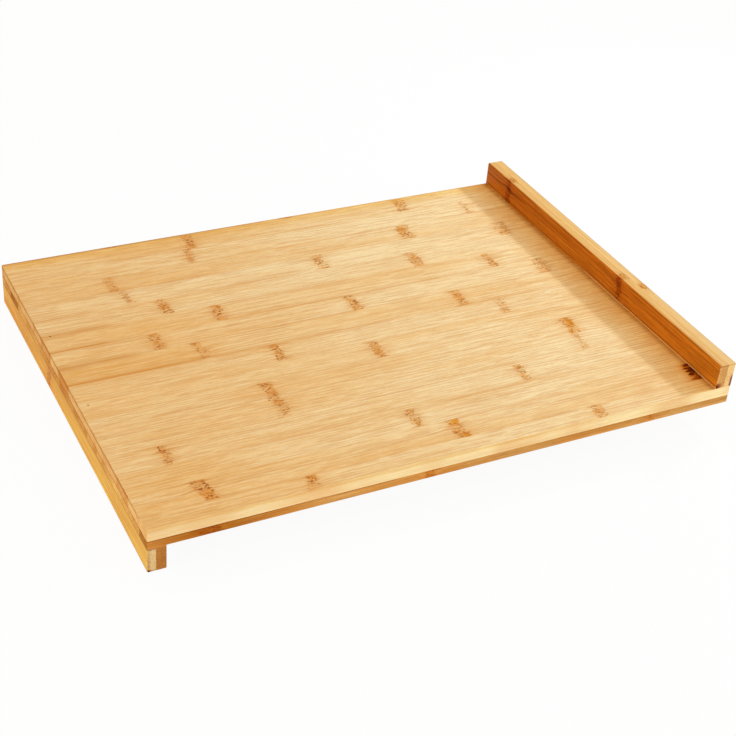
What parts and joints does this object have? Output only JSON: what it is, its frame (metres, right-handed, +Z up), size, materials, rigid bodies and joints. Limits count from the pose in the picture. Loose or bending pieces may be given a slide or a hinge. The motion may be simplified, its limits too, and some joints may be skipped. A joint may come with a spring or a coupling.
{
  "type": "worktop cutting board",
  "caption": "Flat laminated bamboo board with a lip bar under its front end that hooks over a worktop's edge and a raised stop bar along its back end.",
  "frame": {"origin": "the lip's inner corner at mid width, where the top front edge of the worktop sits: Z 0 is the panel's underside and Y 0 the lip's back face", "axes": "+X along the lip to the right of someone working at the board, +Y from the lip back to the stop, +Z up"},
  "size_m": [0.338, 0.45, 0.0541],
  "materials": {
    "upper_stave": "fine sanded and lightly oiled, honey coloured bamboo",
    "lower_stave": "fine sanded and lightly oiled, browner bamboo",
    "lip_front": "fine sanded and lightly oiled bamboo",
    "lip_back": "fine sanded and lightly oiled, darker bamboo",
    "stop_front": "fine sanded and lightly oiled bamboo",
    "stop_back": "fine sanded and lightly oiled, pale bamboo",
    "pin": "dull steel"
  },
  "bodies": {
    "root": {"lip_back_lamina": "lip_back", "lip_front_lamina": "lip_front", "lip_pins": "pin", "lower_stave_01": "lower_stave", "lower_stave_02": "lower_stave", "lower_stave_03": "lower_stave", "lower_stave_04": "lower_stave", "lower_stave_05": "lower_stave", "lower_stave_06": "lower_stave", "lower_stave_07": "lower_stave", "lower_stave_08": "lower_stave", "lower_stave_09": "lower_stave", "lower_stave_10": "lower_stave", "lower_stave_11": "lower_stave", "lower_stave_12": "lower_stave", "lower_stave_13": "lower_stave", "lower_stave_14": "lower_stave", "lower_stave_15": "lower_stave", "lower_stave_16": "lower_stave", "lower_stave_17": "lower_stave", "stop_back_lamina": "stop_back", "stop_front_lamina": "stop_front", "stop_pins": "pin", "upper_stave_01": "upper_stave", "upper_stave_02": "upper_stave", "upper_stave_03": "upper_stave", "upper_stave_04": "upper_stave", "upper_stave_05": "upper_stave", "upper_stave_06": "upper_stave", "upper_stave_07": "upper_stave", "upper_stave_08": "upper_stave", "upper_stave_09": "upper_stave", "upper_stave_10": "upper_stave", "upper_stave_11": "upper_stave", "upper_stave_12": "upper_stave", "upper_stave_13": "upper_stave", "upper_stave_14": "upper_stave", "upper_stave_15": "upper_stave", "upper_stave_16": "upper_stave", "upper_stave_17": "upper_stave"}
  },
  "joints": []
}
